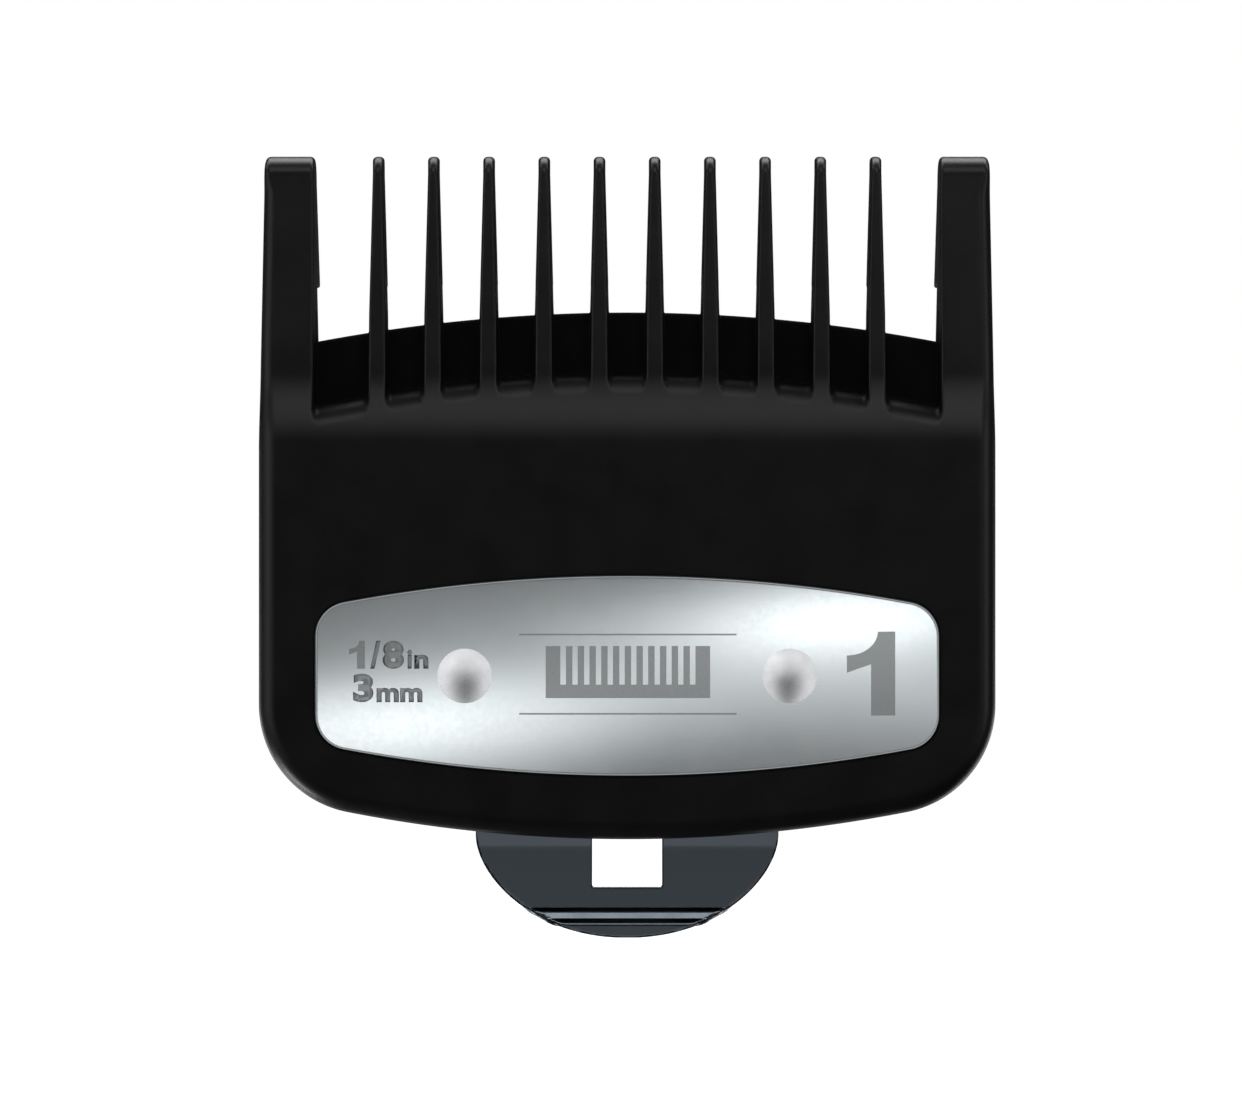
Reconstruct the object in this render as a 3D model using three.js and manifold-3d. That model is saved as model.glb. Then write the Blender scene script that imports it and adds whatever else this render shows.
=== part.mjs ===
// A hair clipper's guard comb, size 1: it keeps the blade 3 mm from the skin.
//
// A moulded nylon comb body carries a metal nameplate on its outer face and a spring steel clip
// inside. Two rivets pass through the nameplate, the body's floor and the clip's base. The clipper's
// fixed blade lies on the seat, its toothed edge against the stops on the teeth, and the clip's hook
// holds its heel. Pushing the thumb tab flexes the clip at the bend beside its base.
//
// Frame, in millimetres: the origin is the middle of the blade seat. +X is to the right, +Y points
// out of the seat towards the clipper, and +Z points along the teeth to their tips.
import * as THREE from "three";
import { mergeVertices } from "three/addons/utils/BufferGeometryUtils.js";
import Module from "manifold-3d";

const wasm = await Module();
wasm.setup();

// Driving dimensions.
const BLADE_WIDTH = 46;
const BLADE_LENGTH = 26;
const BLADE_THICKNESS = 2.2;
const BLADE_SIDE_PLAY = 0.4;
const BLADE_TOP_PLAY = 0.1;

const WALL = 1.8;
const HALF_WIDTH = BLADE_WIDTH / 2 + BLADE_SIDE_PLAY + WALL;
const TIP_HALF_WIDTH = 24.88;
const TAPER_START_Z = 2;
const TIP_Z = 21.92;
const RIM_Z = -24.97;
const RIM_RADIUS = 99.5;
const CORNER_RADIUS = 7.5;
const EDGE_RADIUS = 1.3;

// Levels across the comb's depth.
const FACE_Y = -3.5;
const FLOOR_Y = -1.6;
const RELIEF_Y = -2.1;
const WEB_Y = -0.9;
const WALL_TOP_Y = 3.1;
const LIP_Y = BLADE_THICKNESS + BLADE_TOP_PLAY;

// The shoulder where the thick body steps down to the teeth, and the teeth themselves.
const SHOULDER_LOW_Z = 2.2;
const SHOULDER_TOP_Z = 6.9;
const TOOTH_ROOT_Y = -2.6;
const NOSE_HALF_DEPTH = 1.9;
const NOSE_HEIGHT = 1.3;
const NOSE_Y = 0.28;
const NOSE_Z = TIP_Z - NOSE_HEIGHT;
const TOOTH_COUNT = 10;
const TOOTH_PITCH = 3.8;
const TOOTH_TIP_WIDTH = 0.68;
const TOOTH_ROOT_WIDTH = 1.2;
const TOOTH_TAPER_END_Z = 11.15;
const WIDE_TOOTH_INNER_X = 21.3;
const STOP_Z = BLADE_LENGTH / 2;
const LIP_LENGTH = 1;
const LIP_INNER_X = 21.8;

// The seat bar between the teeth: its front edge and the bottoms of the pockets are shallow arcs.
const WEB_EDGE_Z = 11.15;
const WEB_EDGE_RADIUS = 113;
const POCKET_Z = 6.5;
const POCKET_RADIUS = 110;

// The hollow behind the seat.
const SEAT_REAR_Z = -1.5;
const LEDGE_X = 20.4;
const SUPPORT_RIB_WIDTH = 1.2;
const SUPPORT_RIB_REAR_Z = -9.6;

// Nameplate and rivets.
const PLATE_Z = -13.75;
const PLATE_HALF_WIDTH = 21.3;
const PLATE_HALF_HEIGHT = 6.87;
const PLATE_ARC_RADIUS = 105;
const PLATE_CORNER_RADIUS = 2.4;
const PLATE_RECESS = 0.35;
const PLATE_EDGE_Y = -3.6;
const PLATE_CROWN_Y = -3.95;
const FIT_GAP = 0.02;
const RIVET_X = 11.07;
const RIVET_HEAD_RADIUS = 1.875;
const RIVET_HEAD_HEIGHT = 0.7;
const RIVET_SHANK_RADIUS = 1.15;
const RIVET_HOLE_RADIUS = 1.3;
const RIVET_TAIL_RADIUS = 1.8;
const RIVET_TAIL_HEIGHT = 0.6;

// The spring clip: one sheet, modelled as a riveted base and a moving latch.
const SHEET = 0.5;
const SHEET_Y = FLOOR_Y + FIT_GAP + SHEET / 2;
const BASE_HALF_WIDTH = 14;
const BASE_FRONT_Z = -10.6;
const BASE_REAR_Z = -16.6;
const LATCH_START_Z = -16.9;
const LATCH_WALL_Z = -17.6;
const LATCH_TOP_Y = LIP_Y + SHEET / 2;
const LATCH_HALF_WIDTH = 10.45;
const BEND_RADIUS = 0.35;
const HOOK_HALF_WIDTH = 2.1;
const HOOK_END_Z = -12.2;
const TAB_END_Z = -31.86;
const WINDOW_HALF_WIDTH = 2.41;
const WINDOW_TOP_Z = -18.1;
const WINDOW_BOTTOM_Z = -28.4;
const NOTCH_HALF_WIDTH = 11.6;

// Far enough to pass right through any piece.
const BEYOND = 30;
const ARC_STEPS = 10;

// ---- Solids from three.js geometry ----

function solidFrom(geometry) {
  const bare = geometry.clone();
  bare.deleteAttribute("normal");
  bare.deleteAttribute("uv");
  const merged = mergeVertices(bare, 1e-4);
  const vertProperties = merged.attributes.position.array;
  const triVerts = new Uint32Array(merged.index.array);
  return new wasm.Manifold(new wasm.Mesh({ numProp: 3, vertProperties, triVerts }));
}

function geometryFrom(solid) {
  const mesh = solid.getMesh();
  const geometry = new THREE.BufferGeometry();
  geometry.setAttribute("position", new THREE.BufferAttribute(mesh.vertProperties, 3));
  geometry.setIndex(new THREE.BufferAttribute(mesh.triVerts, 1));
  geometry.computeVertexNormals();
  return geometry;
}

function extruded(points, depth) {
  const options = { depth, bevelEnabled: false };
  return new THREE.ExtrudeGeometry(new THREE.Shape(points), options);
}

// Points are (x, z), and the solid runs from lowY to highY.
function alongY(points, lowY, highY) {
  const x = new THREE.Vector3(1, 0, 0);
  const z = new THREE.Vector3(0, 0, 1);
  const depth = new THREE.Vector3(0, -1, 0);
  const geometry = extruded(points, highY - lowY);
  geometry.applyMatrix4(new THREE.Matrix4().makeBasis(x, z, depth));
  geometry.translate(0, highY, 0);
  return solidFrom(geometry);
}

// Points are (y, z), and the solid runs from lowX to highX.
function alongX(points, lowX, highX) {
  const y = new THREE.Vector3(0, 1, 0);
  const z = new THREE.Vector3(0, 0, 1);
  const depth = new THREE.Vector3(1, 0, 0);
  const geometry = extruded(points, highX - lowX);
  geometry.applyMatrix4(new THREE.Matrix4().makeBasis(y, z, depth));
  geometry.translate(lowX, 0, 0);
  return solidFrom(geometry);
}

function block(lowX, highX, lowY, highY, lowZ, highZ) {
  const geometry = new THREE.BoxGeometry(highX - lowX, highY - lowY, highZ - lowZ);
  geometry.translate((lowX + highX) / 2, (lowY + highY) / 2, (lowZ + highZ) / 2);
  return solidFrom(geometry);
}

// Joins rings of (x, z) outlines, each at its own y, from the lowest y to the highest.
function loft(rings) {
  const count = rings[0].outline.length;
  const positions = [];
  for (const { outline, y } of rings) {
    for (const point of outline) {
      positions.push(point.x, y, point.y);
    }
  }
  const index = [];
  for (let ring = 0; ring + 1 < rings.length; ring += 1) {
    for (let i = 0; i < count; i += 1) {
      const a = ring * count + i;
      const b = ring * count + ((i + 1) % count);
      index.push(a, b + count, b);
      index.push(a, a + count, b + count);
    }
  }
  const last = (rings.length - 1) * count;
  for (const [a, b, c] of THREE.ShapeUtils.triangulateShape(rings[0].outline, [])) {
    index.push(a, b, c);
  }
  for (const [a, b, c] of THREE.ShapeUtils.triangulateShape(rings.at(-1).outline, [])) {
    index.push(last + c, last + b, last + a);
  }
  const geometry = new THREE.BufferGeometry();
  geometry.setAttribute("position", new THREE.Float32BufferAttribute(positions, 3));
  geometry.setIndex(index);
  return solidFrom(geometry);
}

// Turns a profile of (radius, y) points about a line along Y.
function turned(profile, x, z) {
  const geometry = new THREE.LatheGeometry(profile, 28);
  geometry.translate(x, 0, z);
  return solidFrom(geometry);
}

// ---- Outlines ----

function arc(centreX, centreZ, radius, from, to) {
  const points = [];
  for (let step = 0; step <= ARC_STEPS; step += 1) {
    const angle = from + ((to - from) * step) / ARC_STEPS;
    const x = centreX + radius * Math.cos(angle);
    const z = centreZ + radius * Math.sin(angle);
    points.push(new THREE.Vector2(x, z));
  }
  return points;
}

// The comb's outline: a long shallow rim arc, two corner arcs that run into it smoothly, straight
// sides, and sides that draw in slightly from TAPER_START_Z to the top.
function bodyOutline(inset, topZ, topHalfWidth) {
  const cornerX = HALF_WIDTH - CORNER_RADIUS;
  const rimCentreZ = RIM_Z + RIM_RADIUS;
  const cornerZ = rimCentreZ - Math.sqrt((RIM_RADIUS - CORNER_RADIUS) ** 2 - cornerX ** 2);
  const join = Math.atan2(cornerZ - rimCentreZ, cornerX);
  const rim = arc(0, rimCentreZ, RIM_RADIUS - inset, -Math.PI - join, join);
  const right = arc(cornerX, cornerZ, CORNER_RADIUS - inset, join, 0);
  const left = arc(-cornerX, cornerZ, CORNER_RADIUS - inset, Math.PI, Math.PI - join);
  const taperStart = Math.min(TAPER_START_Z, topZ - 1);
  const sides = [
    new THREE.Vector2(HALF_WIDTH - inset, taperStart),
    new THREE.Vector2(topHalfWidth - inset, topZ),
    new THREE.Vector2(inset - topHalfWidth, topZ),
    new THREE.Vector2(inset - HALF_WIDTH, taperStart),
  ];
  return [...rim, ...right.slice(1), ...sides, ...left.slice(0, -1)];
}

// The nameplate's outline: shallow arcs above and below, straight ends and small round corners.
function plateOutline(inset) {
  const cornerX = PLATE_HALF_WIDTH - PLATE_CORNER_RADIUS;
  const centreZ = PLATE_HALF_HEIGHT - PLATE_ARC_RADIUS;
  const reach = PLATE_ARC_RADIUS - PLATE_CORNER_RADIUS;
  const cornerZ = centreZ + Math.sqrt(reach ** 2 - cornerX ** 2);
  const join = Math.atan2(cornerZ - centreZ, cornerX);
  const upper = [
    ...arc(cornerX, cornerZ, PLATE_CORNER_RADIUS - inset, 0, join),
    ...arc(0, centreZ, PLATE_ARC_RADIUS - inset, join, Math.PI - join).slice(1),
    ...arc(-cornerX, cornerZ, PLATE_CORNER_RADIUS - inset, Math.PI - join, Math.PI).slice(1),
  ];
  const lower = upper.map((point) => new THREE.Vector2(-point.x, -point.y));
  const place = new THREE.Vector2(0, PLATE_Z);
  return [...upper, ...lower].map((point) => point.add(place));
}

// The comb from the side: outer face, shoulder, slope, round nose, and the teeth's inner edge.
function sideProfile() {
  const profile = new THREE.Shape();
  const reach = (SHOULDER_TOP_Z - SHOULDER_LOW_Z) / 2.5;
  profile.moveTo(FACE_Y - 1, RIM_Z - 1);
  profile.lineTo(FACE_Y - 1, RIM_Z);
  profile.lineTo(FACE_Y, RIM_Z);
  profile.lineTo(FACE_Y, SHOULDER_LOW_Z);
  profile.bezierCurveTo(
    FACE_Y, SHOULDER_LOW_Z + reach,
    TOOTH_ROOT_Y, SHOULDER_TOP_Z - reach,
    TOOTH_ROOT_Y, SHOULDER_TOP_Z,
  );
  profile.lineTo(NOSE_Y - NOSE_HALF_DEPTH, NOSE_Z);
  profile.absellipse(NOSE_Y, NOSE_Z, NOSE_HALF_DEPTH, NOSE_HEIGHT, Math.PI, 0, true, 0);
  profile.lineTo(WALL_TOP_Y, STOP_Z);
  profile.lineTo(WALL_TOP_Y, RIM_Z - 1);
  return profile.getPoints(8);
}

// Rounds each inner corner of a path of (y, z) points to the given radius.
function roundedPath(corners, radius) {
  const path = [corners[0]];
  for (let i = 1; i + 1 < corners.length; i += 1) {
    const back = corners[i - 1].clone().sub(corners[i]).normalize();
    const ahead = corners[i + 1].clone().sub(corners[i]).normalize();
    const half = Math.acos(THREE.MathUtils.clamp(back.dot(ahead), -1, 1)) / 2;
    const start = corners[i].clone().addScaledVector(back, radius / Math.tan(half));
    const end = corners[i].clone().addScaledVector(ahead, radius / Math.tan(half));
    const bend = new THREE.QuadraticBezierCurve(start, corners[i], end);
    path.push(...bend.getPoints(5));
  }
  path.push(corners.at(-1));
  return path;
}

// A sheet of even thickness along a path of (y, z) points.
function sheetOutline(path) {
  const left = [];
  const right = [];
  path.forEach((point, i) => {
    const before = path[Math.max(i - 1, 0)];
    const after = path[Math.min(i + 1, path.length - 1)];
    const along = after.clone().sub(before).normalize();
    const across = new THREE.Vector2(-along.y, along.x).multiplyScalar(SHEET / 2);
    left.push(point.clone().add(across));
    right.push(point.clone().sub(across));
  });
  return [...left, ...right.reverse()];
}

// ---- Comb body ----

function toothX(number) {
  return (number - (TOOTH_COUNT - 1) / 2) * TOOTH_PITCH;
}

function toothWidth(z) {
  const share = THREE.MathUtils.clamp((TIP_Z - z) / (TIP_Z - TOOTH_TAPER_END_Z), 0, 1);
  return THREE.MathUtils.lerp(TOOTH_TIP_WIDTH, TOOTH_ROOT_WIDTH, share);
}

function arcDrop(x, radius) {
  return radius - Math.sqrt(radius ** 2 - x ** 2);
}

// The faces that bound gap number 0 to TOOTH_COUNT at height z, as [left x, right x].
function gapSides(gap, z) {
  const half = toothWidth(z) / 2;
  const left = gap === 0 ? -WIDE_TOOTH_INNER_X : toothX(gap - 1) + half;
  const right = gap === TOOTH_COUNT ? WIDE_TOOTH_INNER_X : toothX(gap) - half;
  return [left, right];
}

// Two cuts for each gap: right through above the seat bar, and a pocket in front of the bar.
function gapCuts() {
  const cuts = [];
  for (let gap = 0; gap <= TOOTH_COUNT; gap += 1) {
    const [left, right] = gapSides(gap, WEB_EDGE_Z);
    const [topLeft, topRight] = gapSides(gap, TIP_Z);
    const through = [
      new THREE.Vector2(left, WEB_EDGE_Z - arcDrop(left, WEB_EDGE_RADIUS)),
      new THREE.Vector2(right, WEB_EDGE_Z - arcDrop(right, WEB_EDGE_RADIUS)),
      new THREE.Vector2(right, WEB_EDGE_Z),
      new THREE.Vector2(topRight, TIP_Z),
      new THREE.Vector2(topRight, TIP_Z + 1),
      new THREE.Vector2(topLeft, TIP_Z + 1),
      new THREE.Vector2(topLeft, TIP_Z),
      new THREE.Vector2(left, WEB_EDGE_Z),
    ];
    const pocket = [
      new THREE.Vector2(left, POCKET_Z - arcDrop(left, POCKET_RADIUS)),
      new THREE.Vector2(right, POCKET_Z - arcDrop(right, POCKET_RADIUS)),
      new THREE.Vector2(right, WEB_EDGE_Z),
      new THREE.Vector2(left, WEB_EDGE_Z),
    ];
    cuts.push(alongY(through, -BEYOND, BEYOND));
    cuts.push(alongY(pocket, -BEYOND, WEB_Y));
  }
  return cuts;
}

function outerBlock() {
  const rings = [
    { inset: 1, rise: 0 },
    { inset: 0.45, rise: 0.15 },
    { inset: 0.13, rise: 0.5 },
    { inset: 0, rise: 1 },
  ].map(({ inset, rise }) => ({
    outline: bodyOutline(inset * EDGE_RADIUS, TIP_Z, TIP_HALF_WIDTH),
    y: FACE_Y + rise * EDGE_RADIUS,
  }));
  rings.push({ outline: bodyOutline(0, TIP_Z, TIP_HALF_WIDTH), y: WALL_TOP_Y });
  return loft(rings);
}

function bladeSpace() {
  return alongY(bodyOutline(WALL, STOP_Z, HALF_WIDTH), 0, BEYOND);
}

// The hollow behind the seat, with the channel that lets the latch swing past the rim.
function rearHollow() {
  const inner = alongY(bodyOutline(WALL, SEAT_REAR_Z, HALF_WIDTH), FLOOR_Y, BEYOND);
  const between = block(-LEDGE_X, LEDGE_X, FLOOR_Y, BEYOND, -BEYOND, 0);
  const channel = block(
    -NOTCH_HALF_WIDTH, NOTCH_HALF_WIDTH, RELIEF_Y, BEYOND, -BEYOND, BASE_REAR_Z,
  );
  return inner.intersect(between).add(channel);
}

function rivetHole(x) {
  const profile = [
    new THREE.Vector2(0, -BEYOND),
    new THREE.Vector2(RIVET_HOLE_RADIUS, -BEYOND),
    new THREE.Vector2(RIVET_HOLE_RADIUS, BEYOND),
    new THREE.Vector2(0, BEYOND),
  ];
  return turned(profile, x, PLATE_Z);
}

function supportRib(x) {
  const half = SUPPORT_RIB_WIDTH / 2;
  return block(x - half, x + half, FLOOR_Y - 0.3, 0, SUPPORT_RIB_REAR_Z, SEAT_REAR_Z + 0.3);
}

// A lip over one front corner of the blade, on the wide tooth.
function cornerLip(side) {
  const ends = [side * LIP_INNER_X, side * (HALF_WIDTH - WALL / 2)];
  const low = Math.min(...ends);
  const high = Math.max(...ends);
  return block(low, high, LIP_Y, WALL_TOP_Y, STOP_Z - LIP_LENGTH, STOP_Z + 0.3);
}

function combBody() {
  const outer = outerBlock().intersect(alongX(sideProfile(), -BEYOND, BEYOND));
  let body = outer.subtract(bladeSpace()).subtract(rearHollow());
  for (const side of [-1, 1]) {
    body = body.add(cornerLip(side));
  }
  for (let number = 0; number < TOOTH_COUNT; number += 1) {
    body = body.add(supportRib(toothX(number)));
  }
  for (const cut of gapCuts()) {
    body = body.subtract(cut);
  }
  const plateSeat = alongY(plateOutline(-0.1), -BEYOND, FACE_Y + PLATE_RECESS);
  body = body.subtract(plateSeat);
  for (const side of [-1, 1]) {
    body = body.subtract(rivetHole(side * RIVET_X));
  }
  return body;
}

// ---- Nameplate and rivets ----

function nameplate() {
  const rings = [
    { inset: 2, y: PLATE_CROWN_Y },
    { inset: 0.3, y: PLATE_CROWN_Y + 0.1 },
    { inset: 0, y: PLATE_EDGE_Y },
    { inset: 0, y: FACE_Y + PLATE_RECESS - FIT_GAP },
  ].map(({ inset, y }) => ({ outline: plateOutline(inset), y }));
  return loft(rings).subtract(rivetHole(-RIVET_X)).subtract(rivetHole(RIVET_X));
}

// A domed head outside, a plain shank, and a formed tail on the clip's base.
function rivet(x) {
  const headBase = PLATE_CROWN_Y - FIT_GAP;
  const tailBase = SHEET_Y + SHEET / 2 + FIT_GAP;
  const profile = [];
  for (let step = 0; step <= 6; step += 1) {
    const angle = (step / 6) * (Math.PI / 2);
    const radius = RIVET_HEAD_RADIUS * Math.sin(angle);
    profile.push(new THREE.Vector2(radius, headBase - RIVET_HEAD_HEIGHT * Math.cos(angle)));
  }
  profile.push(
    new THREE.Vector2(RIVET_SHANK_RADIUS, headBase),
    new THREE.Vector2(RIVET_SHANK_RADIUS, tailBase),
    new THREE.Vector2(RIVET_TAIL_RADIUS, tailBase),
    new THREE.Vector2(RIVET_TAIL_RADIUS * 0.8, tailBase + RIVET_TAIL_HEIGHT * 0.7),
    new THREE.Vector2(RIVET_TAIL_RADIUS * 0.4, tailBase + RIVET_TAIL_HEIGHT),
    new THREE.Vector2(0, tailBase + RIVET_TAIL_HEIGHT),
  );
  return turned(profile, x, PLATE_Z);
}

// ---- Spring clip ----

function clipBase() {
  const radius = 1.5;
  const x = BASE_HALF_WIDTH - radius;
  const front = BASE_FRONT_Z - radius;
  const rear = BASE_REAR_Z + radius;
  const outline = [
    ...arc(x, front, radius, 0, Math.PI / 2),
    ...arc(-x, front, radius, Math.PI / 2, Math.PI),
    ...arc(-x, rear, radius, Math.PI, Math.PI * 1.5),
    ...arc(x, rear, radius, Math.PI * 1.5, Math.PI * 2),
  ];
  const sheet = alongY(outline, SHEET_Y - SHEET / 2, SHEET_Y + SHEET / 2);
  return sheet.subtract(rivetHole(-RIVET_X)).subtract(rivetHole(RIVET_X));
}

// The latch from behind: straight sides that run into one round end.
function tabOutline() {
  const end = new THREE.CubicBezierCurve(
    new THREE.Vector2(LATCH_HALF_WIDTH, -24.8),
    new THREE.Vector2(LATCH_HALF_WIDTH, -27.6),
    new THREE.Vector2(6.6, TAB_END_Z),
    new THREE.Vector2(0, TAB_END_Z),
  ).getPoints(14);
  const right = [new THREE.Vector2(LATCH_HALF_WIDTH, LATCH_START_Z), ...end];
  const left = right.slice(0, -1).map((point) => new THREE.Vector2(-point.x, point.y));
  return [...right, ...left.reverse()].reverse();
}

function clipLatch() {
  const stem = [
    new THREE.Vector2(SHEET_Y, LATCH_START_Z),
    new THREE.Vector2(SHEET_Y, LATCH_WALL_Z),
    new THREE.Vector2(LATCH_TOP_Y, LATCH_WALL_Z),
  ];
  const tab = [
    new THREE.Vector2(LATCH_TOP_Y, LATCH_WALL_Z - 1.1),
    new THREE.Vector2(0.75, -25.5),
    new THREE.Vector2(0.35, -29.9),
    new THREE.Vector2(-0.03, -30.72),
    new THREE.Vector2(-0.08, TAB_END_Z - 0.2),
  ];
  const hook = [
    new THREE.Vector2(LATCH_TOP_Y, LATCH_WALL_Z),
    new THREE.Vector2(LATCH_TOP_Y, HOOK_END_Z - 0.7),
    new THREE.Vector2(LATCH_TOP_Y + 0.45, HOOK_END_Z),
  ];
  const tabSheet = sheetOutline(roundedPath([...stem, ...tab], BEND_RADIUS));
  const hookSheet = sheetOutline(roundedPath(hook, BEND_RADIUS));
  const window = block(
    -WINDOW_HALF_WIDTH, WINDOW_HALF_WIDTH, -BEYOND, BEYOND, WINDOW_BOTTOM_Z, WINDOW_TOP_Z,
  );
  const wide = alongX(tabSheet, -LATCH_HALF_WIDTH, LATCH_HALF_WIDTH);
  const shaped = wide.intersect(alongY(tabOutline(), -BEYOND, BEYOND)).subtract(window);
  return shaped.add(alongX(hookSheet, -HOOK_HALF_WIDTH, HOOK_HALF_WIDTH));
}

// ---- Materials and assembly ----

const nylon = { color: 0x121213, roughness: 0.55, metalness: 0 };
const satinMetal = { color: 0xb9bdc0, roughness: 0.34, metalness: 1 };
const rivetMetal = { color: 0xc4c7ca, roughness: 0.28, metalness: 1 };
const springSteel = { color: 0x3a4046, roughness: 0.3, metalness: 1 };

function part(name, solid, look) {
  const mesh = new THREE.Mesh(geometryFrom(solid), new THREE.MeshStandardMaterial(look));
  mesh.name = name;
  return mesh;
}

const comb = new THREE.Group();
comb.add(
  part("comb_body", combBody(), nylon),
  part("nameplate", nameplate(), satinMetal),
  part("rivet_left", rivet(-RIVET_X), rivetMetal),
  part("rivet_right", rivet(RIVET_X), rivetMetal),
  part("clip_base", clipBase(), springSteel),
);

const clip = new THREE.Group();
clip.add(part("clip_latch", clipLatch(), springSteel));

const guard = new THREE.Group();
guard.add(comb, clip);

export default guard;
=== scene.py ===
"""Looks for a clipper guard comb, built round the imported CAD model.

Shapes are worked out in millimetres, in the frame of the CAD model, and become metres only when a
mesh is made. +X is to the right, +Y points to the clipper, +Z points to the tips of the teeth.
"""
import math

import bmesh
import bpy
import numpy as np
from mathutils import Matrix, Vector


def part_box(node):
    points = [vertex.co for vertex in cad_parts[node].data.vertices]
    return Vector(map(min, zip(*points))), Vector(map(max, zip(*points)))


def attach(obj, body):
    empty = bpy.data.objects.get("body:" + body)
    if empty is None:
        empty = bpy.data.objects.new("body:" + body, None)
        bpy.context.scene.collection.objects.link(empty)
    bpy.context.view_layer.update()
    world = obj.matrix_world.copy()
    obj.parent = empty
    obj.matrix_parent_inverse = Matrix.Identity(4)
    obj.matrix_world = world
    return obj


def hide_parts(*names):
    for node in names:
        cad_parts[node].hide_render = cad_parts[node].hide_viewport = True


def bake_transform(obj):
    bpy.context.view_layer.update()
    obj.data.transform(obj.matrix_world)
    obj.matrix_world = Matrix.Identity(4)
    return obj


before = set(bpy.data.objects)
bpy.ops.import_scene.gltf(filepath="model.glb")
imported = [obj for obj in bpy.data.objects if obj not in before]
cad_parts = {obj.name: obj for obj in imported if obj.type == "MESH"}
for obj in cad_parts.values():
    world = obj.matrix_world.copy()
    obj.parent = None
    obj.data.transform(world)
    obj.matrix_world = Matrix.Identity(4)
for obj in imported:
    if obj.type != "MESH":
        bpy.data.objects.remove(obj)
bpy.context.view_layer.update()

MM = 0.001


def box_mm(node):
    low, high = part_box(node)
    return np.array(low) / MM, np.array(high) / MM


COMB_LOW, COMB_HIGH = box_mm("comb_body")
PLATE_LOW, PLATE_HIGH = box_mm("nameplate")
RIVET_LOW, RIVET_HIGH = box_mm("rivet_right")
BASE_LOW, BASE_HIGH = box_mm("clip_base")
LATCH_LOW, LATCH_HIGH = box_mm("clip_latch")

# ---- Dimensions of the comb body ----

HALF_WIDTH = COMB_HIGH[0]
FACE_Y = COMB_LOW[1]
WALL_TOP_Y = COMB_HIGH[1]
RIM_Z = COMB_LOW[2]
TIP_Z = COMB_HIGH[2]
WALL = 1.8
TIP_TAPER = 0.32
TAPER_START_Z = 2.0
RIM_RADIUS = 99.5
CORNER_RADIUS = 7.5
CORNER_X = HALF_WIDTH - CORNER_RADIUS
RIM_CENTRE_Z = RIM_Z + RIM_RADIUS
CORNER_Z = RIM_CENTRE_Z - math.sqrt((RIM_RADIUS - CORNER_RADIUS) ** 2 - CORNER_X ** 2)

FLOOR_Y = -1.6
RELIEF_Y = -2.1
WEB_Y = -0.9
LIP_Y = 2.3
LIP_X = 21.8
STOP_Z = 13.0
SHOULDER_LOW_Z = 2.2
SHOULDER_TOP_Z = 6.9
TOOTH_ROOT_Y = -2.6
NOSE_HALF_DEPTH = 1.9
NOSE_HEIGHT = 1.3
NOSE_Y = 0.28
NOSE_Z = TIP_Z - NOSE_HEIGHT
TOOTH_COUNT = 10
TOOTH_PITCH = 3.8
WEB_EDGE_Z = 11.15
WEB_EDGE_RADIUS = 113.0
POCKET_Z = 7.0
POCKET_RADIUS = 98.0
SEAT_REAR_Z = -1.5
LEDGE_X = 20.4
SUPPORT_RIB_HALF_WIDTH = 0.6
SUPPORT_RIB_REAR_Z = -9.6
NOTCH_HALF_WIDTH = 11.6
CHANNEL_Z = BASE_LOW[2]

# The teeth's widths at the seat's level, and how much narrower they are at the face and the back.
TOOTH_WIDTH_LEVELS = [6, 11, 20.7]
TOOTH_WIDTHS = [1.42, 1.34, 0.82]
TOOTH_FACE_DRAFT = 0.23
TOOTH_BACK_DRAFT = 0.24
TOOTH_FACE_DEPTH = 2.3
WIDE_TOOTH_LEVELS = [9, 20]
WIDE_TOOTH_INNER_X = [21.2, 21.48]

# Edge radii.
BODY_EDGE_RADIUS = 1.3
SHOULDER_RADIUS_LOSS = 0.4
TIP_RADIUS_LOSS = 0.45
BACK_EDGE_RADIUS = 0.4
TOOTH_EDGE_RADIUS = 0.15
TIP_EXTRA_RADIUS = 0.17
POCKET_EDGE_RADIUS = 1.5
TOOTH_ROOT_BLEND = 0.45
MOULD_EDGE_BLEND = 0.22

# ---- Dimensions of the nameplate, rivets and clip ----

PLATE_Z = (PLATE_LOW[2] + PLATE_HIGH[2]) / 2
PLATE_HALF_WIDTH = PLATE_HIGH[0]
PLATE_HALF_HEIGHT = (PLATE_HIGH[2] - PLATE_LOW[2]) / 2
PLATE_BACK_Y = PLATE_HIGH[1]
PLATE_ARC_RADIUS = 105.0
PLATE_CORNER_RADIUS = 2.4
PLATE_EDGE_RADIUS = 0.18
CROWN_ACROSS = 0.22
CROWN_ALONG = 0.12
PLATE_TOP_Y = PLATE_LOW[1] + CROWN_ACROSS + CROWN_ALONG

RIVET_X = (RIVET_LOW[0] + RIVET_HIGH[0]) / 2
RIVET_HEAD_RADIUS = 1.86
RIVET_HEAD_HEIGHT = 0.46
RIVET_SHANK_RADIUS = 1.15
PLATE_SEAT_PLAY = 0.09
BODY_HOLE_PLAY = 0.05
PLATE_HOLE_PLAY = 0.02
CLIP_HOLE_PLAY = 0.04
RIVET_TAIL_Y = RIVET_HIGH[1]
RIVET_TAIL_RADIUS = 1.78

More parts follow.
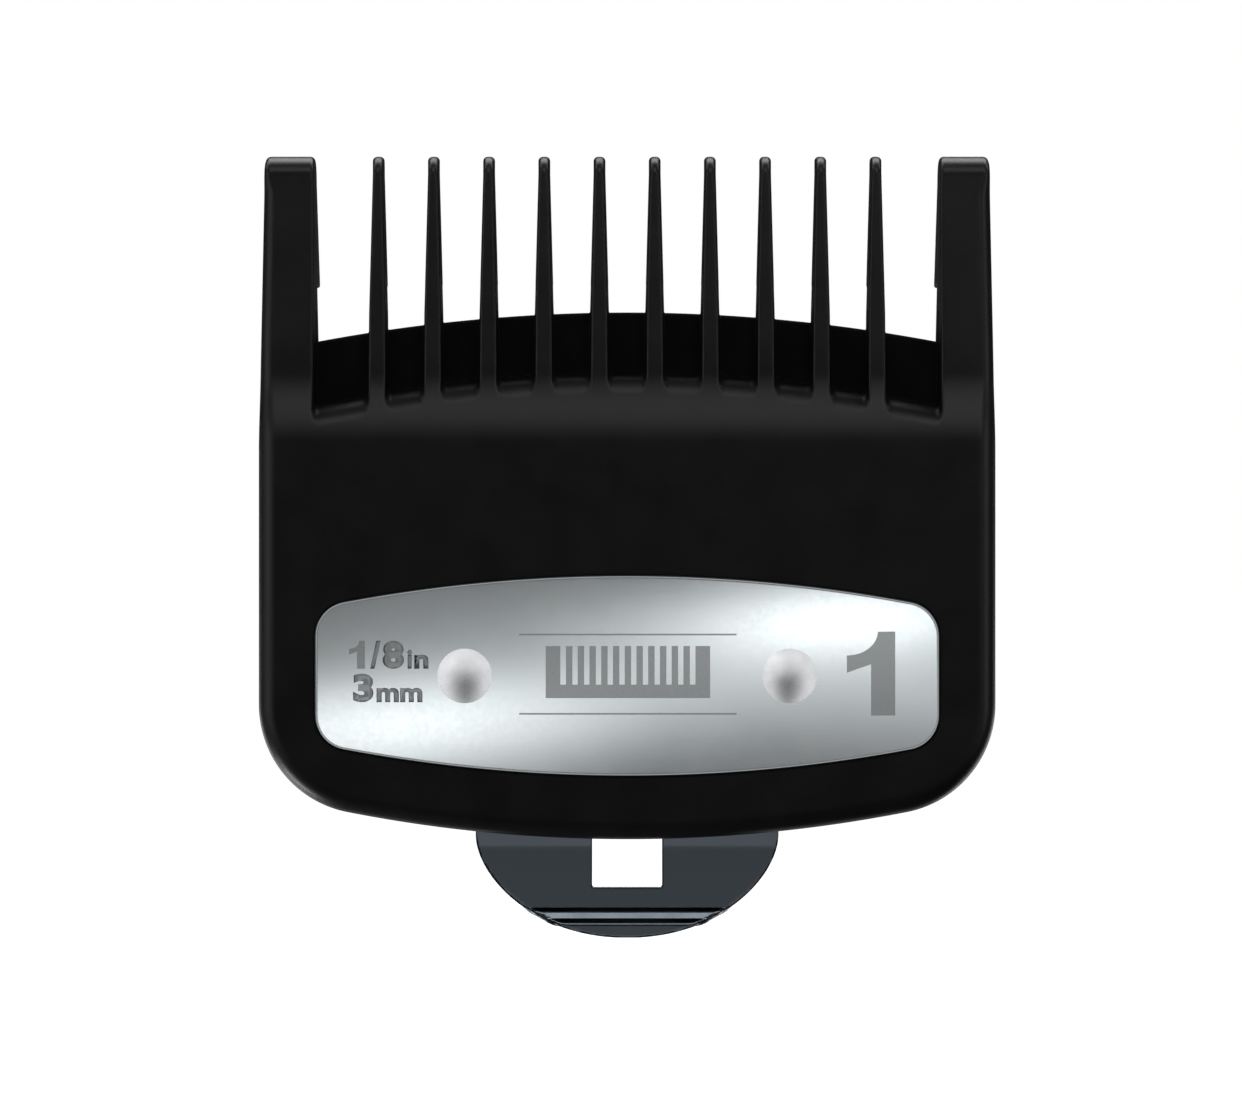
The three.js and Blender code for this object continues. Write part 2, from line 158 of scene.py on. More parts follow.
SHEET = BASE_HIGH[1] - BASE_LOW[1]
SHEET_Y = (BASE_HIGH[1] + BASE_LOW[1]) / 2
LATCH_WALL_Z = -17.6
LATCH_TOP_Y = LIP_Y + SHEET / 2
LATCH_HALF_WIDTH = LATCH_HIGH[0]
TAB_END_Z = LATCH_LOW[2]
HOOK_END_Z = LATCH_HIGH[2]
WINDOW_HALF_WIDTH = 2.41
WINDOW_BOTTOM_Z = -28.4
HOOK_HALF_WIDTH = 2.1
BASE_CORNER_RADIUS = 1.5
BASE_TO_STRAP_BLEND = 1.2
SHEET_EDGE_RADIUS = 0.1


# ---- Distance fields: negative inside, in millimetres ----

def smooth_min(a, b, k):
    """The space inside a or b, with a fillet about k wide where they meet."""
    near = np.maximum(k - np.abs(a - b), 0) / k
    return np.minimum(a, b) - near * near * k / 4


def smooth_max(a, b, k):
    return -smooth_min(-a, -b, k)


def rounded_and(a, b, radius):
    """The space inside both a and b, with the edge between them rounded."""
    outer = np.hypot(np.maximum(a + radius, 0), np.maximum(b + radius, 0))
    return np.minimum(np.maximum(a + radius, b + radius), 0) + outer - radius


def smooth_step(low, high, value):
    share = np.clip((value - low) / (high - low), 0, 1)
    return share * share * (3 - 2 * share)


def polygon_distance(points, x, y):
    """Signed distance from each (x, y) to a closed polygon."""
    best = np.full(np.broadcast(x, y).shape, np.inf)
    inside = np.zeros(best.shape, bool)
    for (ax, ay), (bx, by) in zip(points, np.roll(points, -1, axis=0)):
        ex, ey = bx - ax, by - ay
        wx, wy = x - ax, y - ay
        share = np.clip((wx * ex + wy * ey) / (ex * ex + ey * ey), 0, 1)
        best = np.minimum(best, (wx - share * ex) ** 2 + (wy - share * ey) ** 2)
        if ey != 0:
            crosses = ((ay > y) != (by > y)) & (x < ax + (y - ay) * ex / ey)
            inside ^= crosses
    return np.where(inside, -1, 1) * np.sqrt(best)


def spaced(*stretches):
    """Grid lines through (end, step) stretches, laid end to end from the first number."""
    start = stretches[0]
    lines = [np.array([start])]
    for end, step in stretches[1:]:
        count = max(1, round((end - start) / step))
        lines.append(np.linspace(start, end, count + 1)[1:])
        start = end
    return np.concatenate(lines)


def mirrored(lines):
    """Grid lines given for x >= 0, repeated on the other side."""
    return np.unique(np.round(np.concatenate([-lines, lines]), 6))


CUBE_CORNERS = [(i, j, k) for i in (0, 1) for j in (0, 1) for k in (0, 1)]
CUBE_EDGES = [
    (a, b) for a in CUBE_CORNERS for b in CUBE_CORNERS
    if a < b and sum(p != q for p, q in zip(a, b)) == 1
]


def surface_net(field, lines):
    """Points and quads of the surface where field is zero, on a grid of x, y and z lines."""
    axes = np.meshgrid(*lines, indexing="ij", sparse=True)
    shape = tuple(len(line) for line in lines)
    value = np.broadcast_to(field(*axes), shape)
    inside = value < 0
    cells = tuple(n - 1 for n in shape)
    count = np.zeros(cells, np.int8)
    for i, j, k in CUBE_CORNERS:
        count += inside[i:i + cells[0], j:j + cells[1], k:k + cells[2]]
    active = (count > 0) & (count < 8)
    number = np.full(cells, -1)
    number[active] = np.arange(active.sum())
    where = np.argwhere(active)
    total = np.zeros((len(where), 3))
    hits = np.zeros(len(where))
    for a, b in CUBE_EDGES:
        start, end = where + a, where + b
        value_a, value_b = value[tuple(start.T)], value[tuple(end.T)]
        crossing = (value_a < 0) != (value_b < 0)
        gap = np.where(crossing, value_a - value_b, 1)
        share = (value_a / gap)[:, None]
        point_a = np.stack([lines[n][start[:, n]] for n in range(3)], axis=1)
        point_b = np.stack([lines[n][end[:, n]] for n in range(3)], axis=1)
        total += np.where(crossing[:, None], point_a + share * (point_b - point_a), 0)
        hits += crossing
    points = total / hits[:, None]
    quads = []
    for axis in range(3):
        ahead, across = np.eye(3, dtype=int)[[(axis + 1) % 3, (axis + 2) % 3]]
        below = [slice(1, -1)] * 3
        above = [slice(1, -1)] * 3
        below[axis], above[axis] = slice(0, -1), slice(1, None)
        low, high = inside[tuple(below)], inside[tuple(above)]
        crossing = low != high
        cell = np.argwhere(crossing)
        ring = (cell, cell + ahead, cell + ahead + across, cell + across)
        quad = np.stack([number[tuple(c.T)] for c in ring], axis=1)
        turned = ~low[crossing]
        quad[turned] = quad[turned][:, ::-1]
        quads.append(quad)
    return points, np.concatenate(quads)


def settled(field, points, rounds=3, reach=0.08):
    """Moves points along the field's slope until they lie on its surface."""
    step = 0.004
    for _ in range(rounds):
        slope = np.zeros_like(points)
        for axis in range(3):
            offset = np.eye(3)[axis] * step
            ahead, behind = field(*(points + offset).T), field(*(points - offset).T)
            slope[:, axis] = (ahead - behind) / (2 * step)
        move = field(*points.T) / np.maximum((slope ** 2).sum(axis=1), 0.2)
        points = points - slope * np.clip(move, -reach, reach)[:, None]
    return points


# ---- Meshes ----

def shown(name, mesh, material):
    """A new object in the scene for a mesh."""
    mesh.materials.append(material)
    piece = bpy.data.objects.new(name, mesh)
    bpy.context.scene.collection.objects.link(piece)
    return piece


def mesh_piece(name, points, faces, material):
    """A new object from points in millimetres."""
    mesh = bpy.data.meshes.new(name)
    mesh.from_pydata((np.asarray(points) * MM).tolist(), [], [list(f) for f in faces])
    mesh.validate()
    return shown(name, mesh, material)


def fixed(piece, node):
    """Stands a piece in for a CAD node that stays with the comb body."""
    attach(piece, "comb")
    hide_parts(node)
    return piece


def shade(piece, sharp_degrees=35):
    """Smooth shading, with edges sharper than the angle left crisp."""
    mesh = piece.data
    mesh.polygons.foreach_set("use_smooth", [True] * len(mesh.polygons))
    mesh.set_sharp_from_angle(angle=math.radians(sharp_degrees))


def cut(piece, cutter):
    """Takes the cutter's shape out of the piece, and removes the cutter."""
    modifier = piece.modifiers.new("cut", "BOOLEAN")
    modifier.operation = "DIFFERENCE"
    modifier.solver = "MANIFOLD"
    modifier.object = cutter
    bpy.context.view_layer.update()
    graph = bpy.context.evaluated_depsgraph_get()
    result = bpy.data.meshes.new_from_object(piece.evaluated_get(graph))
    piece.modifiers.clear()
    piece.data = result
    bpy.data.objects.remove(cutter)


def ring_loft(rings):
    """Faces between rings of equally many points, each ring closed."""
    count = len(rings[0])
    faces = []
    for ring in range(len(rings) - 1):
        for i in range(count):
            j = (i + 1) % count
            faces.append((
                ring * count + i, ring * count + j,
                (ring + 1) * count + j, (ring + 1) * count + i,
            ))
    return faces


def capped_loft(name, rings, material):
    """A closed piece: faces between the rings, and a cap on the first and the last."""
    count = len(rings[0])
    last = (len(rings) - 1) * count
    faces = [tuple(reversed(f)) for f in ring_loft(rings)]
    faces.append(tuple(range(count)))
    faces.append(tuple(reversed(range(last, last + count))))
    return mesh_piece(name, np.concatenate(rings), faces, material)


def circle(x, y, radius, steps):
    """A ring of points round the axis of a rivet at x."""
    angles = np.linspace(0, 2 * math.pi, steps, endpoint=False)
    return [(x + radius * math.cos(a), y, PLATE_Z + radius * math.sin(a)) for a in angles]


def weld(piece, gap, sliver=None):
    """Joins points closer than the gap, drops slivers if asked, and turns the faces outward."""
    mesh = bmesh.new()
    mesh.from_mesh(piece.data)
    bmesh.ops.remove_doubles(mesh, verts=mesh.verts, dist=gap * MM)
    if sliver:
        bmesh.ops.dissolve_degenerate(mesh, edges=mesh.edges, dist=sliver * MM)
    bmesh.ops.recalc_face_normals(mesh, faces=mesh.faces)
    mesh.to_mesh(piece.data)
    mesh.free()


# ---- Comb body ----

def outline_distance(x, z, taper=TIP_TAPER):
    """The body seen from the front: tapered sides, round corners and a bowed rim."""
    side_x = np.abs(x)
    share = np.clip((z - TAPER_START_Z) / (TIP_Z - TAPER_START_Z), 0, None)
    side = side_x - HALF_WIDTH + taper * share
    rim = np.hypot(x, z - RIM_CENTRE_Z) - RIM_RADIUS
    corner_x, corner_z = side_x - CORNER_X, z - CORNER_Z
    corner = np.hypot(corner_x, corner_z) - CORNER_RADIUS
    reach = RIM_RADIUS - CORNER_RADIUS
    across = (RIM_CENTRE_Z - CORNER_Z) / reach, CORNER_X / reach
    in_corner = (corner_z < 0) & (corner_x * across[0] + corner_z * across[1] > 0)
    return np.where(in_corner, corner, np.maximum(side, rim))


def face_level(z):
    """The outer face: flat on the body, then over the shoulder and sloping along the teeth."""
    step = smooth_step(SHOULDER_LOW_Z, SHOULDER_TOP_Z, z) * (TOOTH_ROOT_Y - FACE_Y)
    slope = (NOSE_Y - NOSE_HALF_DEPTH - TOOTH_ROOT_Y) / (NOSE_Z - SHOULDER_TOP_Z)
    above = z - SHOULDER_TOP_Z
    return FACE_Y + step + slope * (above + np.hypot(above, 2.0)) / 2


def back_level(z):
    slope = (WALL_TOP_Y - NOSE_Y - NOSE_HALF_DEPTH) / (NOSE_Z - STOP_Z)
    return WALL_TOP_Y - slope * np.maximum(z - STOP_Z, 0)


def profile_distance(y, z):
    """The body seen from the side: a slab between face and back that ends in an oval nose."""
    slab = np.maximum(face_level(z) - y, y - back_level(z))
    u, w = (y - NOSE_Y) / NOSE_HALF_DEPTH, (z - NOSE_Z) / NOSE_HEIGHT
    size = np.hypot(u, w) + 1e-6
    steep = np.hypot(u / NOSE_HALF_DEPTH, w / NOSE_HEIGHT) + 1e-6
    return np.where(z > NOSE_Z, size * (size - 1) / steep, slab)


def tooth_offset(x):
    """Distance from the middle line of the nearest narrow tooth."""
    middle = (TOOTH_COUNT - 1) / 2
    nearest = np.clip(np.round(x / TOOTH_PITCH + middle), 0, TOOTH_COUNT - 1) - middle
    return np.abs(x - nearest * TOOTH_PITCH)


def tooth_distance(x, y, z):
    """The narrow teeth, with draft both ways, and the wide teeth beyond them."""
    to_face = np.clip(-y / TOOTH_FACE_DEPTH, 0, 1)
    to_back = np.clip(y / WALL_TOP_Y, 0, 1)
    width = np.interp(z, TOOTH_WIDTH_LEVELS, TOOTH_WIDTHS)
    draft = TOOTH_FACE_DRAFT * to_face + TOOTH_BACK_DRAFT * to_back
    narrow = tooth_offset(x) - (width - draft) / 2
    inner_x = np.interp(z, WIDE_TOOTH_LEVELS, WIDE_TOOTH_INNER_X)
    inner_x = inner_x + (WIDE_TOOTH_INNER_X[-1] - inner_x) * to_face
    return np.minimum(narrow, inner_x - np.abs(x))


def pocket_distance(x, z):
    """The heel of the teeth, up to the bowed bottoms of the pockets."""
    return z - POCKET_Z + x ** 2 / (2 * POCKET_RADIUS)


def solid_body(x, y, z):
    """The moulding without its hollows: tooth or heel, within the envelope."""
    profile = profile_distance(y, z)
    face_radius = (
        BODY_EDGE_RADIUS - SHOULDER_RADIUS_LOSS * smooth_step(1.5, 8, z)
        - TIP_RADIUS_LOSS * smooth_step(19, 20.6, z)
    )
    envelope_radius = np.where(y < 0, face_radius, BACK_EDGE_RADIUS)
    envelope = rounded_and(outline_distance(x, z), profile, envelope_radius)
    tooth_radius = TOOTH_EDGE_RADIUS + TIP_EXTRA_RADIUS * smooth_step(20, 21, z)
    teeth = rounded_and(tooth_distance(x, y, z), profile, tooth_radius)
    heel = rounded_and(pocket_distance(x, z), profile, POCKET_EDGE_RADIUS)
    return np.maximum(smooth_min(teeth, heel, TOOTH_ROOT_BLEND), envelope)


def seat_bar(x, y, z):
    """The bar that joins the teeth, with a curved front edge."""
    edge = z - (WEB_EDGE_Z - x ** 2 / (2 * WEB_EDGE_RADIUS))
    sheet = rounded_and(edge, WEB_Y - y, 0.2)
    limits = np.maximum(y - 1, 3 - z)
    return np.maximum(np.maximum(sheet, limits), outline_distance(x, z) + 0.5)


def blade_space(x, y, z):
    """The room for the clipper's blade, less the lips over its front corners."""
    inner = outline_distance(x, z, taper=0) + WALL
    space = rounded_and(rounded_and(-y, inner, 0.25), z - STOP_Z, 0.15)
    lip = np.maximum(np.maximum(LIP_X - np.abs(x), STOP_Z - 1 - z), LIP_Y - y)
    return smooth_max(space, -lip, 0.15)


def rear_hollow(x, y, z):
    """The hollow behind the seat, less its support ribs, and the channel for the clip."""
    inner = outline_distance(x, z, taper=0) + WALL
    sides = rounded_and(np.abs(x) - LEDGE_X, z - SEAT_REAR_Z, 0.8)
    hollow = rounded_and(rounded_and(FLOOR_Y - y, inner, 0.4), sides, 0.3)
    rib = np.maximum(tooth_offset(x) - SUPPORT_RIB_HALF_WIDTH, SUPPORT_RIB_REAR_Z - z)
    hollow = smooth_max(hollow, -rib, 0.4)
    channel = rounded_and(np.abs(x) - NOTCH_HALF_WIDTH, z - CHANNEL_Z, 0.8)
    channel = rounded_and(channel, RELIEF_Y - y, 0.3)
    return smooth_min(hollow, channel, 0.4)


def comb_field(x, y, z):
    """The moulding, without the nameplate's recess and the rivet holes."""
    body = smooth_min(solid_body(x, y, z), seat_bar(x, y, z), 0.04)
    body = smooth_max(body, -blade_space(x, y, z), MOULD_EDGE_BLEND)
    return smooth_max(body, -rear_hollow(x, y, z), MOULD_EDGE_BLEND)


def comb_lines():
    """Grid lines for the comb body, close together where it has edges."""
    middle = (TOOTH_COUNT - 1) / 2
    near = TOOTH_PITCH / 4
    x = [spaced(0, (near, 0.3))]
    for number in range(TOOTH_COUNT // 2):
        centre = (number + 0.5) * TOOTH_PITCH
        x.append(spaced(centre - near, (centre + near, 0.1)))
        x.append(spaced(centre + near, (centre + TOOTH_PITCH - near, 0.27)))
    last = middle * TOOTH_PITCH + near
    x.append(spaced(last, (19.9, 0.25), (22.0, 0.1), (23.1, 0.2), (HALF_WIDTH + 0.3, 0.1)))
    half = np.concatenate(x)
    half = half[half <= HALF_WIDTH + 0.3]
    y = spaced(
        FACE_Y - 0.2, (-2.9, 0.1), (-1.4, 0.1), (-1.05, 0.12), (-0.7, 0.09), (-0.2, 0.16),
        (0.2, 0.07), (2.1, 0.24), (WALL_TOP_Y + 0.2, 0.1),
    )
    z = spaced(
        RIM_Z - 0.2, (-22.0, 0.12), (-17.0, 0.2), (-16.2, 0.1), (-10.2, 0.4), (-9.2, 0.1),
        (-2.2, 0.4), (-0.9, 0.1), (1.0, 0.25), (4.2, 0.16), (7.2, 0.1), (8.6, 0.16),
        (11.2, 0.1), (11.8, 0.2), (13.4, 0.08), (19.4, 0.3), (TIP_Z + 0.2, 0.09),
    )
    return [mirrored(half), y, z]


def thinned(lines, least=0.05):
    """Drops lines that lie closer together than the least gap."""
    kept = [lines[0]]
    for line in lines[1:]:
        if line - kept[-1] >= least:
            kept.append(line)
    return np.array(kept)


def plate_outline(inset, steps=12):
    """(x, z) points round the nameplate, counterclockwise from the right."""
    corner_x = PLATE_HALF_WIDTH - PLATE_CORNER_RADIUS
    centre_z = PLATE_HALF_HEIGHT - PLATE_ARC_RADIUS
    reach = PLATE_ARC_RADIUS - PLATE_CORNER_RADIUS
    corner_z = centre_z + math.sqrt(reach ** 2 - corner_x ** 2)
    join = math.atan2(corner_z - centre_z, corner_x)
    arcs = [
        (corner_x, corner_z, PLATE_CORNER_RADIUS, 0, join, steps),
        (0, centre_z, PLATE_ARC_RADIUS, join, math.pi - join, steps * 5),
        (-corner_x, corner_z, PLATE_CORNER_RADIUS, math.pi - join, math.pi, steps),
    ]
    points = []
    for turn in (1, -1):
        for x, z, radius, start, end, count in arcs:
            for angle in np.linspace(start, end, count, endpoint=False):
                offset = np.array([math.cos(angle), math.sin(angle)]) * (radius - inset)
                points.append(turn * (np.array([x, z]) + offset))
        for share in np.linspace(0, 1, 8, endpoint=False):
            level = corner_z * (1 - 2 * share)
            points.append(turn * np.array([inset - PLATE_HALF_WIDTH, level]))
    return np.array(points) + [0, PLATE_Z]


def crown(x, z):
    """The nameplate's outer face, slightly domed both ways."""
    along = 1 - (x / PLATE_HALF_WIDTH) ** 2
    across = 1 - ((z - PLATE_Z) / PLATE_HALF_HEIGHT) ** 2
    return PLATE_TOP_Y - CROWN_ALONG * along - CROWN_ACROSS * across


def drill(piece, radius, low_y, high_y, material):
    """Cuts both rivet holes through a piece."""
    for x in (-RIVET_X, RIVET_X):
        rings = [circle(x, y, radius, 64) for y in (low_y, high_y)]
        cut(piece, capped_loft("hole", rings, material))


def make_comb(material):
    lines = comb_lines()
    lines[0] = thinned(lines[0])
    points, quads = surface_net(comb_field, lines)
    points = settled(comb_field, points)
    comb = mesh_piece("guard_comb_body", points, quads, material)
    outline = plate_outline(-PLATE_SEAT_PLAY)
    rings = [[(x, y, z) for x, z in outline] for y in (FACE_Y - 1, PLATE_BACK_Y + 0.02)]
    cut(comb, capped_loft("plate_seat", rings, material))
    drill(comb, RIVET_SHANK_RADIUS + BODY_HOLE_PLAY, FACE_Y - 1.5, 0, material)
    shade(comb)
    return fixed(comb, "comb_body")


# ---- Nameplate ----

def make_nameplate(material):
    rings = []

    def add(inset, rise):
        """A ring that follows the domed face, a little below it."""
        ring = plate_outline(inset)
        rings.append([(x, crown(x, z) + rise, z) for x, z in ring])

    for inset, level in ((0.12, PLATE_BACK_Y), (0, PLATE_BACK_Y - 0.1)):
        rings.append([(x, level, z) for x, z in plate_outline(inset)])
    for angle in np.linspace(0, math.pi / 2, 8):
        inset = PLATE_EDGE_RADIUS * (1 - math.cos(angle))
        add(inset, PLATE_EDGE_RADIUS * (1 - math.sin(angle)))
    edge = plate_outline(PLATE_EDGE_RADIUS)
    # The face closes onto a spine along the middle. Its first rings hug the rounded edge.
    spine_half = PLATE_HALF_WIDTH - PLATE_HALF_HEIGHT * 0.8
    for share in (0.01, 0.04, *np.linspace(0, 1, 16)[1:]):
        ring = []
        for x, z in edge:
            spine_x = np.clip(x * spine_half / PLATE_HALF_WIDTH, -spine_half, spine_half)
            px = x + (spine_x - x) * share
            pz = z + (PLATE_Z - z) * share
            ring.append((px, crown(px, pz), pz))
        rings.append(ring)
    count = len(edge)
    faces = ring_loft(rings)
    faces.append(tuple(reversed(range(count))))
    plate = mesh_piece("guard_nameplate", np.concatenate(rings), faces, material)
    weld(plate, 0.004, sliver=0.001)
    drill(plate, RIVET_SHANK_RADIUS + PLATE_HOLE_PLAY, FACE_Y - 2.5, 0, material)
    shade(plate, 50)
    return fixed(plate, "nameplate")


# ---- Rivets ----

def rivet_profile():
    """(radius, y) points from the middle of the head, round the shank, to the tail's hollow."""
    base_y = crown(RIVET_X, PLATE_Z) - 0.01
    sphere = (RIVET_HEAD_RADIUS ** 2 + RIVET_HEAD_HEIGHT ** 2) / (2 * RIVET_HEAD_HEIGHT)
    sweep = math.asin(RIVET_HEAD_RADIUS / sphere)
    profile = []
    for angle in np.linspace(0, sweep, 14):
        rise = sphere * math.cos(angle) - (sphere - RIVET_HEAD_HEIGHT)
        profile.append((sphere * math.sin(angle), base_y - rise))
    profile.append((RIVET_HEAD_RADIUS - 0.03, base_y + 0.05))
    profile.append((RIVET_SHANK_RADIUS, base_y + 0.05))
    washer_y = SHEET_Y + SHEET / 2 + 0.02
    profile.append((RIVET_SHANK_RADIUS, washer_y))
    roll = (RIVET_TAIL_Y - washer_y) / 2
    middle = RIVET_TAIL_RADIUS - roll
    for angle in np.linspace(-math.pi / 2, math.pi * 0.9, 16):
        profile.append((middle + roll * math.cos(angle), washer_y + roll + roll * math.sin(angle)))
    hollow_y = washer_y - 0.35
    profile.append((0.74, washer_y + 0.1))
    profile.append((0.66, hollow_y + 0.05))
    profile.append((0.5, hollow_y))
    profile.append((0, hollow_y))
    return profile


def make_rivet(name, node, x, material):
    rings = [circle(x, y, max(radius, 1e-4), 72) for radius, y in rivet_profile()]
    rivet = capped_loft(name, rings, material)
    weld(rivet, 0.001)
    shade(rivet, 45)
    return fixed(rivet, node)


# ---- Spring clip: cut out as a flat sheet, then bent ----

class Bends:
    """A line of (y, z) corners with rounded bends, measured by length along it."""

    def __init__(self, corners, radii):
        corners = [np.array(c, float) for c in corners]
        points = [corners[0]]
        self.starts = []
        for before, corner, after, radius in zip(corners, corners[1:], corners[2:], radii):
            back = (before - corner) / np.linalg.norm(before - corner)
            ahead = (after - corner) / np.linalg.norm(after - corner)
            half = math.acos(np.clip(back @ ahead, -1, 1)) / 2
            reach = radius / math.tan(half)
            middle = (back + ahead) / np.linalg.norm(back + ahead)
            centre = corner + middle * radius / math.sin(half)
            first, last = corner + back * reach - centre, corner + ahead * reach - centre
            start = math.atan2(first[1], first[0])
            turn = (math.atan2(last[1], last[0]) - start + math.pi) % (2 * math.pi) - math.pi
            self.starts.append(len(points))
            for share in np.linspace(0, 1, 16):
                angle = start + turn * share
                points.append(centre + radius * np.array([math.cos(angle), math.sin(angle)]))
        points.append(corners[-1])
        self.points = np.array(points)
        steps = np.linalg.norm(np.diff(self.points, axis=0), axis=1)
        self.length = np.concatenate([[0], np.cumsum(steps)])

    def bend_start(self, number):
        """Length along the line at which a bend begins."""
        return self.length[self.starts[number]]

    def at_height(self, z, beyond=0.0):
        """Length along the line where it first reaches height z, after a given length."""
        fine = np.linspace(beyond, self.length[-1], 4000)
        heights = np.interp(fine, self.length, self.points[:, 1])
        return fine[np.argmin(np.abs(heights - z))]

    def place(self, along, off):
        """(y, z) of points given by their length along the line and distance off it."""
        fine = np.linspace(0, self.length[-1], 3000)
        y = np.interp(fine, self.length, self.points[:, 0])
        z = np.interp(fine, self.length, self.points[:, 1])
        step_y, step_z = np.gradient(y, fine), np.gradient(z, fine)
        size = np.hypot(step_y, step_z)
        out_y = np.interp(along, fine, y) + off * np.interp(along, fine, -step_z / size)
        out_z = np.interp(along, fine, z) + off * np.interp(along, fine, step_y / size)
        return out_y, out_z


# The strap leaves the base, turns away from the floor and runs past the rim to the thumb tab.
# The hook's tongue shares its stem and turns back over the base.
STEM = [(SHEET_Y, BASE_HIGH[2]), (SHEET_Y, LATCH_WALL_Z), (LATCH_TOP_Y, LATCH_WALL_Z)]
TAB = Bends(
    STEM + [
        (LATCH_TOP_Y, LATCH_WALL_Z - 1.1), (0.7, -24.35), (0.8, -25.66), (0.38, -29.88),
        (0.11, -30.2), (-0.076, -30.66), (-0.345, -30.98), (-0.39, TAB_END_Z + 0.02),
    ],
    [0.65, 0.6, 1.5, 0.6, 0.8, 0.32, 0.4, 0.4, 0.3],
)
HOOK = Bends(
    STEM + [(LATCH_TOP_Y, HOOK_END_Z - 0.93), (LATCH_TOP_Y + 0.46, HOOK_END_Z - 0.1)],
    [0.65, 0.45, 0.8],
)
SPLIT = TAB.bend_start(1)
HOOK_LENGTH = HOOK.length[-1]
RIVET_ALONG = BASE_HIGH[2] - PLATE_Z
WINDOW_END = TAB.at_height(WINDOW_BOTTOM_Z, beyond=SPLIT + 1)
TAB_LENGTH = TAB.length[-1]


def tab_outline():
    """The strap and its round end, as (x, along) points."""
    bow = [(LATCH_HALF_WIDTH, -24.8), (LATCH_HALF_WIDTH, -27.6), (6.6, TAB_END_Z), (0.0, TAB_END_Z)]
    side = [(LATCH_HALF_WIDTH, 2.0)]
    for t in np.linspace(0, 1, 24):
        weights = ((1 - t) ** 3, 3 * t * (1 - t) ** 2, 3 * t * t * (1 - t), t ** 3)
        x = sum(w * p[0] for w, p in zip(weights, bow))
        z = sum(w * p[1] for w, p in zip(weights, bow))
        along = TAB_LENGTH if t == 1 else TAB.at_height(z, beyond=SPLIT + 1)
        side.append((x, along))
    return np.array(side + [(-x, s) for x, s in reversed(side[:-1])])


TAB_OUTLINE = tab_outline()


def rounded_box(x, y, low, high, radius):
    """Distance to a rectangle with round corners."""
    middle = (np.array(low) + np.array(high)) / 2
    half = (np.array(high) - np.array(low)) / 2 - radius
    dx, dy = np.abs(x - middle[0]) - half[0], np.abs(y - middle[1]) - half[1]
    outside = np.hypot(np.maximum(dx, 0), np.maximum(dy, 0))
    return outside + np.minimum(np.maximum(dx, dy), 0) - radius


def clip_pattern(x, along):
    """The flat blank: riveted base, strap with a round end, and the tongue lanced from it."""
    base_low, base_high = (BASE_LOW[0], 0.0), (BASE_HIGH[0], BASE_HIGH[2] - BASE_LOW[2])
    base = rounded_box(x, along, base_low, base_high, BASE_CORNER_RADIUS)
    blank = smooth_min(base, polygon_distance(TAB_OUTLINE, x, along), BASE_TO_STRAP_BLEND)
    for side in (-1, 1):
        from_axis = np.hypot(x - side * RIVET_X, along - RIVET_ALONG)
        blank = np.maximum(blank, RIVET_SHANK_RADIUS + CLIP_HOLE_PLAY - from_axis)
    window = rounded_box(
        x, along, (-WINDOW_HALF_WIDTH, SPLIT + 0.1), (WINDOW_HALF_WIDTH, WINDOW_END), 0.15,
    )
    tongue = rounded_box(
        x, along, (-HOOK_HALF_WIDTH, SPLIT - 3), (HOOK_HALF_WIDTH, HOOK_LENGTH), 0.45,
    )
    return smooth_max(blank, -np.maximum(window, -tongue), 0.05)


def clip_field(x, along, off):
    return rounded_and(clip_pattern(x, along), np.abs(off) - SHEET / 2, SHEET_EDGE_RADIUS)


def clip_lines():
    """Grid lines for the flat blank, close together at its edges and bends."""
    half = spaced(
        0, (1.9, 0.3), (2.6, 0.06), (9.6, 0.35), (12.6, 0.11), (BASE_HIGH[0] + 0.2, 0.13),
    )
    along = spaced(
        -0.2, (0.6, 0.1), (1.9, 0.2), (4.5, 0.12), (8.0, 0.12), (10.3, 0.22), (12.0, 0.1),
        (HOOK_LENGTH - 0.8, 0.3), (HOOK_LENGTH + 0.2, 0.1), (WINDOW_END - 0.4, 0.22),
        (WINDOW_END + 0.4, 0.1), (TAB_LENGTH - 2.6, 0.16), (TAB_LENGTH - 0.7, 0.055),
        (TAB_LENGTH + 0.2, 0.09),
    )
    off = spaced(-SHEET / 2 - 0.12, (-0.1, 0.06), (0.1, 0.1), (SHEET / 2 + 0.12, 0.06))
    return [mirrored(half), along, off]


def make_clip(material):
    points, quads = surface_net(clip_field, clip_lines())
    x, s, t = settled(clip_field, points).T
    tongue = (np.abs(x) < HOOK_HALF_WIDTH + 0.1) & (s > SPLIT) & (s < HOOK_LENGTH + 0.3)
    y, z = TAB.place(np.clip(s, 0, TAB_LENGTH), t)
    hook_y, hook_z = HOOK.place(np.clip(s, 0, HOOK_LENGTH), t)
    y, z = np.where(tongue, hook_y, y), np.where(tongue, hook_z, z)
    clip = mesh_piece("guard_spring_clip", np.stack([x, y, z], axis=1), quads, material)
    shade(clip)
    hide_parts("clip_base", "clip_latch")
    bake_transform(clip)
    return clip


# ---- Materials ----

